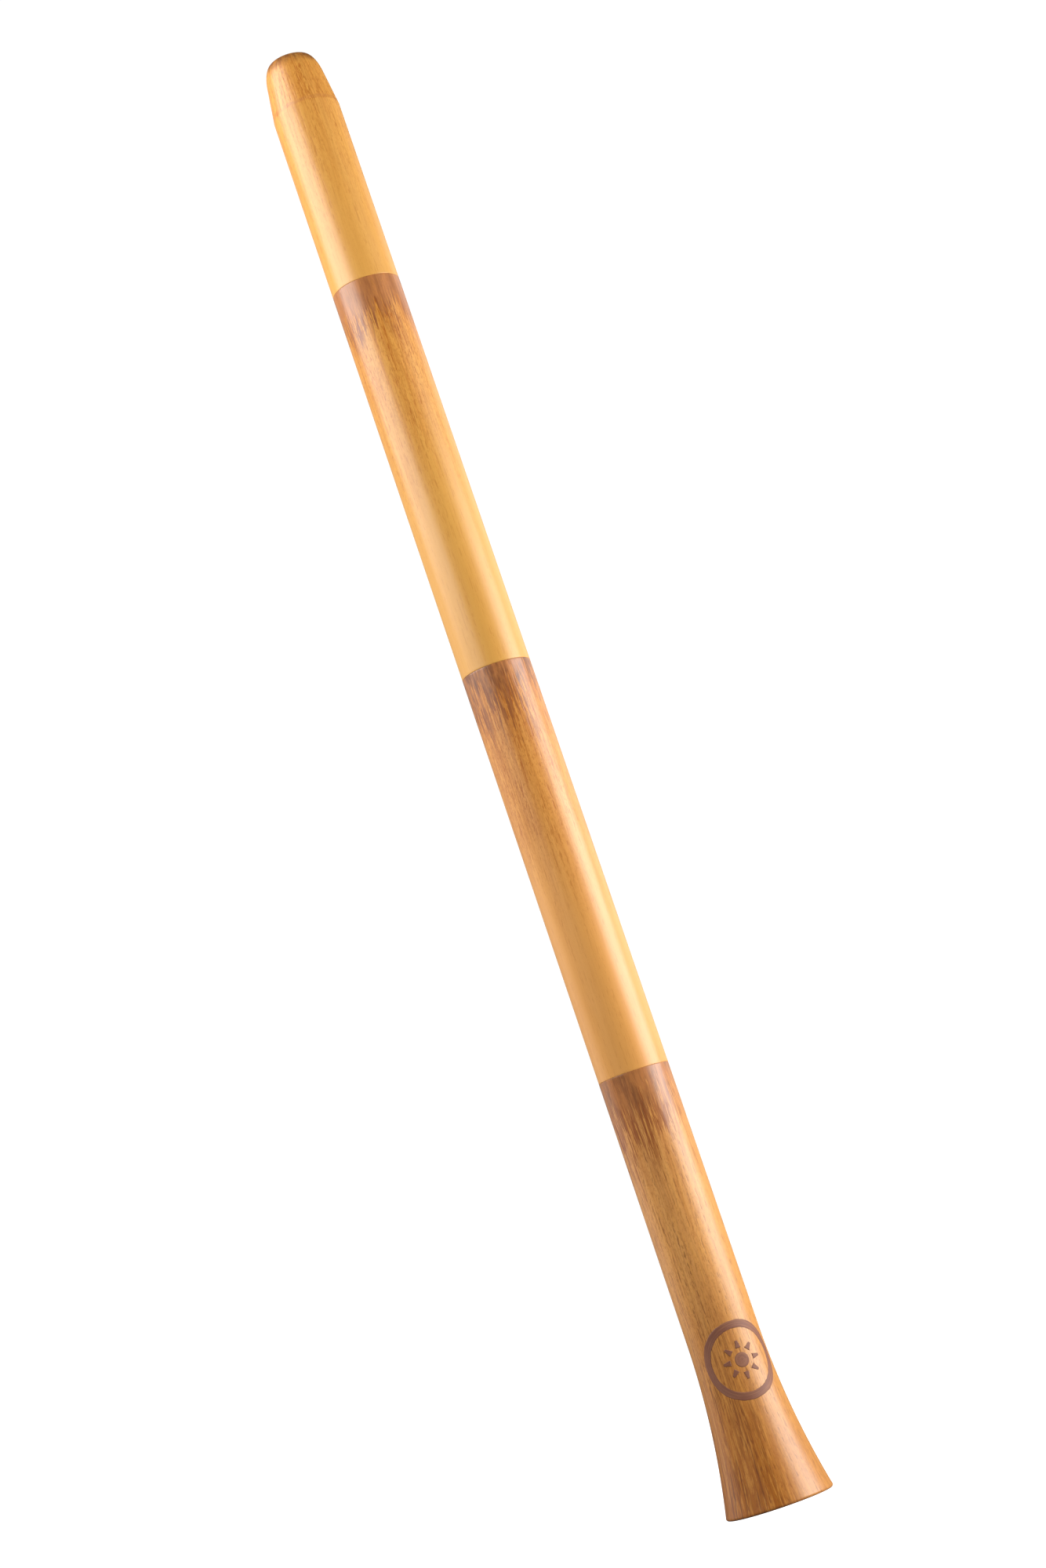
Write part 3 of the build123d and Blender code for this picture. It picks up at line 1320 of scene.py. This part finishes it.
@dataclass
class Emblem:
    """Painted ring with a plain sun in it, wrapped on the front of the bell tube."""

    bell: BellTube
    paint: bpy.types.Material
    height: float = 117.0
    film: float = 0.2
    ring_outer: float = 32.0
    ring_inner: float = 25.6
    disc: float = 6.0
    rays: int = 8
    ray_inner: float = 8.6
    ray_outer: float = 14.6
    ray_inner_half: float = 2.3
    ray_outer_half: float = 0.9
    wobble: float = 0.5
    seed: float = 4.0

    def build(self) -> bpy.types.Object:
        """Lays the strokes out flat, wraps them and puts the piece in the scene.

        Returns:
            The finished piece.
        """
        source = placed("emblem_source", bpy.data.meshes.new("emblem_source"))
        values = {
            "Centre Height": self.height,
            "Film": self.film,
            "Ring Outer": self.ring_outer,
            "Ring Inner": self.ring_inner,
            "Disc": self.disc,
            "Ray Inner": self.ray_inner,
            "Ray Outer": self.ray_outer,
            "Ray Inner Half": self.ray_inner_half,
            "Ray Outer Half": self.ray_outer_half,
            "Tube Radius": self.bell.radius,
            "Flare Height": self.bell.flare_height,
            "Flare Bend": self.bell.bend(self.bell.radius, self.bell.rim_radius),
            "Wobble": self.wobble,
            "Seed": self.seed,
            "Paint": self.paint,
        }
        piece = EmblemTree("emblem_strokes", self.rays).shape(source, values, "emblem_film")
        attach(piece, BODY)
        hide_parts("emblem")
        log.info("%s: %d faces", piece.name, len(piece.data.polygons))
        return piece


class EmblemTree(ShapeTree):
    """Makes the emblem's strokes, laid flat in millimetres and then wrapped on the bell."""

    seam = 0.001

    def __init__(self, name: str, rays: int) -> None:
        """Builds the tree.

        Args:
            name: The tree's name.
            rays: Number of rays of the sun.
        """
        self.rays = rays
        numbers = (
            "Centre Height", "Film", "Ring Outer", "Ring Inner", "Disc", "Ray Inner", "Ray Outer",
            "Ray Inner Half", "Ray Outer Half", "Tube Radius", "Flare Height", "Flare Bend", "Wobble", "Seed",
        )
        inputs = {"Bare": "Geometry", **dict.fromkeys(numbers, "Float"), "Paint": "Material"}
        super().__init__(name, inputs, "Strokes")

    def build(self) -> bpy.types.NodeSocket:
        """Adds the nodes: ring, disc and rays, their thickness, and the wrap.

        Returns:
            The finished film.
        """
        g = self.graph
        ring = self.round_stroke(self.inputs["Ring Inner"], self.inputs["Ring Outer"], 288, 14, 0.0)
        disc = self.round_stroke(0.0, self.inputs["Disc"], 72, 10, 40.0)
        strokes = g.add("GeometryNodeJoinGeometry")
        for part in (ring, disc, self.ray_ring()):
            g.tree.links.new(part, strokes.inputs[0])
        body = self.wrap(self.thicken(strokes.outputs[0]))
        body = self.realized(self.smoothed(body))
        return g.call("GeometryNodeSetMaterial", {"Geometry": body, "Material": self.inputs["Paint"]})

    def ray_ring(self) -> bpy.types.NodeSocket:
        """The rays, turned evenly round the disc.

        Returns:
            The flat rays.
        """
        g = self.graph
        spots = g.call("GeometryNodeMeshCircle", {"Vertices": self.rays, "Radius": 1.0}, fill_type="NONE")
        x, y, _ = g.split(g.add("GeometryNodeInputPosition").outputs[0])
        turn = g.joined(0.0, 0.0, g.math("ARCTAN2", y, x))
        spots = self.moved(self.store(spots, "turn", "FLOAT_VECTOR", "POINT", turn), (0.0, 0.0, 0.0))
        rotation = g.call("FunctionNodeEulerToRotation", {"Euler": self.named("turn", "FLOAT_VECTOR")})
        inputs = {"Points": spots, "Instance": self.ray_stroke(), "Rotation": rotation}
        return self.realized(g.call("GeometryNodeInstanceOnPoints", inputs))

    def round_stroke(self, inner: object, outer: object, columns: int, rows: int,
                     offset: float) -> bpy.types.NodeSocket:
        """A ring or a disc, with edges that waver as a brush leaves them.

        Args:
            inner: Inner radius.
            outer: Outer radius.
            columns: Steps round it.
            rows: Steps across it.
            offset: Moves its brush marks away from those of other strokes.

        Returns:
            The flat stroke.
        """
        g = self.graph
        mesh, along, across = self.sheet(columns + 1, rows + 1)
        angle = g.math("MULTIPLY", along, 2.0 * math.pi)
        cosine, sine = g.math("COSINE", angle), g.math("SINE", angle)
        middle = g.math("MULTIPLY", g.math("ADD", inner, outer), 0.5)
        rim = g.joined(g.math("MULTIPLY", cosine, middle), g.math("MULTIPLY", sine, middle),
                       g.math("MULTIPLY", across, 3.0))
        seeded = g.vector("ADD", rim, g.joined(self.inputs["Seed"], offset, 0.0))
        waver = g.noise(seeded, (5.5, 5.5, 1.2), 0.0, 2.0)
        push = g.math("MULTIPLY", g.math("SUBTRACT", waver, 0.5), self.inputs["Wobble"])
        push = g.math("MULTIPLY", push, g.math("MULTIPLY", 2.0, g.math("MINIMUM", 1.0, inner)))
        radius = g.math("ADD", self.between(across, inner, outer), push)
        place = g.joined(g.math("MULTIPLY", cosine, radius), g.math("MULTIPLY", sine, radius), 0.0)
        length = g.math("MULTIPLY", angle, middle)
        stroke = g.joined(g.math("ADD", length, offset), radius, offset)
        return self.laid(mesh, place, stroke)

    def ray_stroke(self) -> bpy.types.NodeSocket:
        """One tapered ray, which points along X.

        Returns:
            The flat stroke.
        """
        g = self.graph
        mesh, along, across = self.sheet(13, 9)
        reach = self.between(along, self.inputs["Ray Inner"], self.inputs["Ray Outer"])
        half = self.between(along, self.inputs["Ray Inner Half"], self.inputs["Ray Outer Half"])
        side = g.math("MULTIPLY", g.math("MULTIPLY_ADD", across, 2.0, -1.0), half)
        return self.laid(mesh, g.joined(reach, side, 0.0), g.joined(reach, side, 70.0))

    def between(self, share: object, low: object, high: object) -> bpy.types.NodeSocket:
        """The value that lies a share from 0 to 1 of the way from low to high."""
        return self.graph.call("ShaderNodeMapRange", {"Value": share, "To Min": low, "To Max": high})

    def laid(self, mesh: object, place: object, stroke: object) -> bpy.types.NodeSocket:
        """Puts a grid in place flat, merges its seam and stores how the brush ran as stroke."""
        body = self.store(mesh, "stroke", "FLOAT_VECTOR", "CORNER", stroke)
        return self.merged(self.moved(body, place), self.seam)

    def thicken(self, body: object) -> bpy.types.NodeSocket:
        """Closes the flat strokes into a film.

        Args:
            body: The flat strokes.

        Returns:
            The closed film, with its height in Z.
        """
        g = self.graph
        top = g.add("GeometryNodeExtrudeMesh", mode="FACES")
        g.feed(top.inputs["Mesh"], body)
        g.feed(top.inputs["Offset"], (0.0, 0.0, 1.0))
        g.feed(top.inputs["Offset Scale"], self.inputs["Film"])
        g.feed(top.inputs["Individual"], False)
        under = g.call("GeometryNodeFlipFaces", {"Mesh": body})
        both = g.add("GeometryNodeJoinGeometry")
        g.tree.links.new(top.outputs["Mesh"], both.inputs[0])
        g.tree.links.new(under, both.inputs[0])
        return self.merged(both.outputs[0], self.seam)

    def wrap(self, body: object) -> bpy.types.NodeSocket:
        """Wraps the film on the bell tube's outside, in metres.

        Args:
            body: The flat film, in millimetres.

        Returns:
            The wrapped film.
        """
        g, ins = self.graph, self.inputs
        x, y, lift = g.split(g.add("GeometryNodeInputPosition").outputs[0])
        height = g.math("ADD", y, ins["Centre Height"])
        fall = g.math("MAXIMUM", g.math("SUBTRACT", ins["Flare Height"], height), 0.0)
        square = g.math("SUBTRACT", g.math("POWER", ins["Flare Bend"], 2.0), g.math("POWER", fall, 2.0))
        opened = g.math("SUBTRACT", ins["Flare Bend"], g.math("SQRT", square))
        radius = g.math("ADD", ins["Tube Radius"], opened)
        angle = g.math("SUBTRACT", g.math("DIVIDE", x, radius), math.pi / 2.0)
        reach = g.math("ADD", radius, lift)
        place = g.joined(
            g.math("MULTIPLY", reach, g.math("COSINE", angle)),
            g.math("MULTIPLY", reach, g.math("SINE", angle)),
            height,
        )
        return self.moved(body, g.scaled(place, MILLIMETRE))


# ---------------------------------------------------------------- the instrument


@dataclass
class Instrument:
    """The whole didgeridoo: turned lengths, mouthpiece, sleeves and emblem."""

    pieces: list[bpy.types.Object] = field(default_factory=list)

    def build(self) -> list[bpy.types.Object]:
        """Builds every piece.

        Returns:
            The pieces.
        """
        bore = BarePlastic("bore_plastic").make()
        sleeve = BarePlastic("sleeve_plastic", (0.42, 0.41, 0.38), (0.30, 0.28, 0.24)).make()
        self.add_upper_end(bore)
        upper = GrainField(
            self.top_of("upper_middle_tube"), band=24.0, brush=20.0, trail=70.0, most=0.8, seed=7.0,
        )
        self.add_middle("upper_middle_tube", upper, Palette(), 0.45, bore)
        # Its lean paints shade on the front-left side of this length and light on its back-right side.
        lower = GrainField(
            self.top_of("lower_middle_tube"), band=12.0, brush=40.0, trail=100.0,
            most=0.95, seed=20.0, shade_lean=0.5,
        )
        palette = Palette(cream=(0.715, 0.333, 0.082), ochre=(0.600, 0.248, 0.046))
        self.add_middle("lower_middle_tube", lower, palette, 0.95, bore)
        self.add_bell(bore)
        for node in ("upper_sleeve", "middle_sleeve", "lower_sleeve"):
            self.dress_sleeve(node, sleeve)
        return self.pieces

    def top_of(self, node: str) -> float:
        """Height of a node's top, in millimetres."""
        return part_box(node)[1][2] / MILLIMETRE

    def add_upper_end(self, bore: bpy.types.Material) -> None:
        """Builds the mouthpiece and the short length under it, which share their grain.

        Args:
            bore: Finish of the bores.
        """
        lip, neck = self.top_of("mouthpiece"), self.top_of("upper_tube")
        cone = GrainField(lip, reach_start=60.0, reach_end=110.0, most=0.75, seed=3.0)
        skin = WoodLacquer("mouthpiece_lacquer", cone, banded=False, lip=lip, neck=neck).make()
        self.pieces.append(Mouthpiece("mouthpiece", cone, skin, bore).build())
        stem = GrainField(neck, reach_start=0.0, reach_end=190.0, most=0.45, seed=3.0)
        skin = WoodLacquer("upper_lacquer", stem, banded=False).make()
        self.pieces.append(Tube("upper_tube", stem, skin, bore, ease_top=False).build())

    def add_middle(self, node: str, grain: GrainField, palette: Palette, dusk: float,
                   bore: bpy.types.Material) -> None:
        """Builds one of the two long straight lengths. Its band turns as dark as dusk."""
        skin = WoodLacquer(f"{node}_lacquer", grain, palette, dusk=dusk).make()
        self.pieces.append(Tube(node, grain, skin, bore).build())

    def add_bell(self, bore: bpy.types.Material) -> None:
        """Builds the bell tube and the emblem on it.

        Args:
            bore: Finish of the bores.
        """
        # Its lean paints shade on the bell's front-left side and light on its back-right side.
        grain = GrainField(
            self.top_of("bell_tube"), band=20.0, brush=44.0, trail=110.0,
            reach_start=400.0, reach_end=700.0, most=0.6, seed=41.0, shade_lean=0.7,
        )
        palette = Palette(
            cream=(0.705, 0.347, 0.100), ochre=(0.675, 0.288, 0.074),
            umber=(0.290, 0.074, 0.011), russet=(0.250, 0.060, 0.013), pore=(0.170, 0.042, 0.008),
        )
        skin = WoodLacquer("bell_lacquer", grain, palette, streaked=0.85, dusk=0.7).make()
        bell = BellTube("bell_tube", grain, skin, bore)
        self.pieces.append(bell.build())
        paint = BrushedPaint("emblem_paint").make()
        self.pieces.append(Emblem(bell, paint).build())

    def dress_sleeve(self, node: str, finish: bpy.types.Material) -> None:
        """Gives a sleeve, which stays as the frame has it, its finish.

        Args:
            node: The sleeve's node.
            finish: Its finish.
        """
        sleeve = frame["nodes"][node]
        sleeve.data.materials.clear()
        sleeve.data.materials.append(finish)
        log.info("%s: dressed", node)


# ---------------------------------------------------------------- studio


@dataclass(frozen=True)
class Camera:
    """Camera low in front of the bell, tilted up along the tube and rolled."""

    azimuth: float = -16.0
    distance: float = 2.3557
    height: float = 0.1856
    pitch: float = 10.46
    roll: float = 18.816
    aside: float = 0.2263
    lens: float = 65.63
    sensor: float = 36.0

    def build(self) -> bpy.types.Object:
        """Places the camera and makes it the scene's.

        Returns:
            The camera.
        """
        bearing = math.radians(self.azimuth)
        ahead = Vector((-math.sin(bearing), math.cos(bearing), 0.0))
        right = Vector((math.cos(bearing), math.sin(bearing), 0.0))
        up = Vector((0.0, 0.0, 1.0))
        pitch, roll, aside = (math.radians(a) for a in (self.pitch, self.roll, self.aside))
        forward = ahead * math.cos(pitch) + up * math.sin(pitch)
        top = up * math.cos(pitch) - ahead * math.sin(pitch)
        forward, right = (
            forward * math.cos(aside) - right * math.sin(aside),
            right * math.cos(aside) + forward * math.sin(aside),
        )
        across = right * math.cos(roll) - top * math.sin(roll)
        top = top * math.cos(roll) + right * math.sin(roll)
        data = bpy.data.cameras.new("camera")
        data.lens = self.lens
        data.sensor_width = self.sensor
        data.clip_end = 200.0
        camera = placed("camera", data)
        place = -ahead * self.distance + up * self.height
        turn = Matrix((across, top, -forward)).transposed()
        camera.matrix_world = Matrix.Translation(place) @ turn.to_4x4()
        bpy.context.scene.camera = camera
        return camera


@dataclass(frozen=True)
class Softbox:
    """A tall soft lamp that stands round the instrument. Bearing is from the camera, to its right."""

    name: str
    bearing: float
    width: float
    foot: float
    head: float
    radiance: float
    distance: float = 1.7
    colour: Colour = (1.0, 1.0, 1.0)

    def build(self, camera_azimuth: float) -> bpy.types.Object:
        """Places the lamp, upright and facing the instrument.

        Args:
            camera_azimuth: The camera's azimuth in degrees.

        Returns:
            The lamp.
        """
        angle = math.radians(camera_azimuth + self.bearing)
        outwards = Vector((math.sin(angle), -math.cos(angle), 0.0))
        length = self.head - self.foot
        data = bpy.data.lights.new(self.name, "AREA")
        data.shape = "RECTANGLE"
        data.size, data.size_y = self.width, length
        data.energy = self.radiance * math.pi * self.width * length
        data.color = self.colour
        lamp = placed(self.name, data)
        lamp.location = outwards * self.distance + Vector((0.0, 0.0, self.foot + length / 2.0))
        lamp.rotation_euler = (-outwards).to_track_quat("-Z", "Y").to_euler()
        lamp.visible_camera = False
        return lamp


LAMPS = (
    Softbox("left_softbox", bearing=-65.0, width=2.15, foot=1.23, head=3.35, radiance=7.75),
    Softbox("right_softbox", bearing=75.6, width=1.42, foot=0.0, head=1.30, radiance=9.9),
    Softbox("low_left_softbox", bearing=-108.0, width=1.2, foot=0.1, head=1.3, radiance=1.2),
    Softbox("back_left_softbox", bearing=-155.5, width=2.46, foot=0.13, head=2.65, radiance=0.4),
    Softbox("back_right_softbox", bearing=131.8, width=1.33, foot=0.42, head=1.87, radiance=1.5),
)


@dataclass(frozen=True)
class Studio:
    """White room: pale floor, even surroundings and soft lamps."""

    floor_reach: float = 60.0
    surroundings: float = 0.04
    backdrop: float = 1.05

    def build(self) -> None:
        """Builds the floor, the surroundings, the lamps and the camera."""
        self.add_floor()
        self.add_surroundings()
        camera = Camera()
        camera.build()
        for lamp in LAMPS:
            lamp.build(camera.azimuth)
        view = bpy.context.scene.view_settings
        view.view_transform = "Standard"
        view.look = "None"

    def add_floor(self) -> None:
        """Lays the floor in the plane that the bell stands on."""
        reach = self.floor_reach
        mesh = bpy.data.meshes.new("floor")
        corners = [(-reach, -reach, 0.0), (reach, -reach, 0.0), (reach, reach, 0.0), (-reach, reach, 0.0)]
        mesh.from_pydata(corners, [], [(0, 1, 2, 3)])
        mesh.materials.append(StudioFloor(glow=self.backdrop).make())
        floor = placed("floor", mesh)

    def add_surroundings(self) -> None:
        """Lights the scene evenly, behind a plain white backdrop."""
        world = bpy.data.worlds.new("surroundings")
        world.use_nodes = True
        bpy.context.scene.world = world
        graph = Graph(world.node_tree)
        seen = graph.add("ShaderNodeLightPath").outputs["Is Camera Ray"]
        strength = graph.math("MULTIPLY_ADD", seen, self.backdrop - self.surroundings, self.surroundings)
        light = graph.add("ShaderNodeBackground")
        graph.feed(light.inputs["Color"], (1.0, 1.0, 1.0, 1.0))
        graph.feed(light.inputs["Strength"], strength)
        output = graph.add("ShaderNodeOutputWorld")
        graph.feed(output.inputs["Surface"], light.outputs["Background"])


def main() -> None:
    """Builds the instrument and the studio, and notes how many pieces were made."""
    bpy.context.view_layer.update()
    pieces = Instrument().build()
    Studio().build()
    log.info("%d pieces made", len(pieces))


if __name__ == "__main__":
    main()
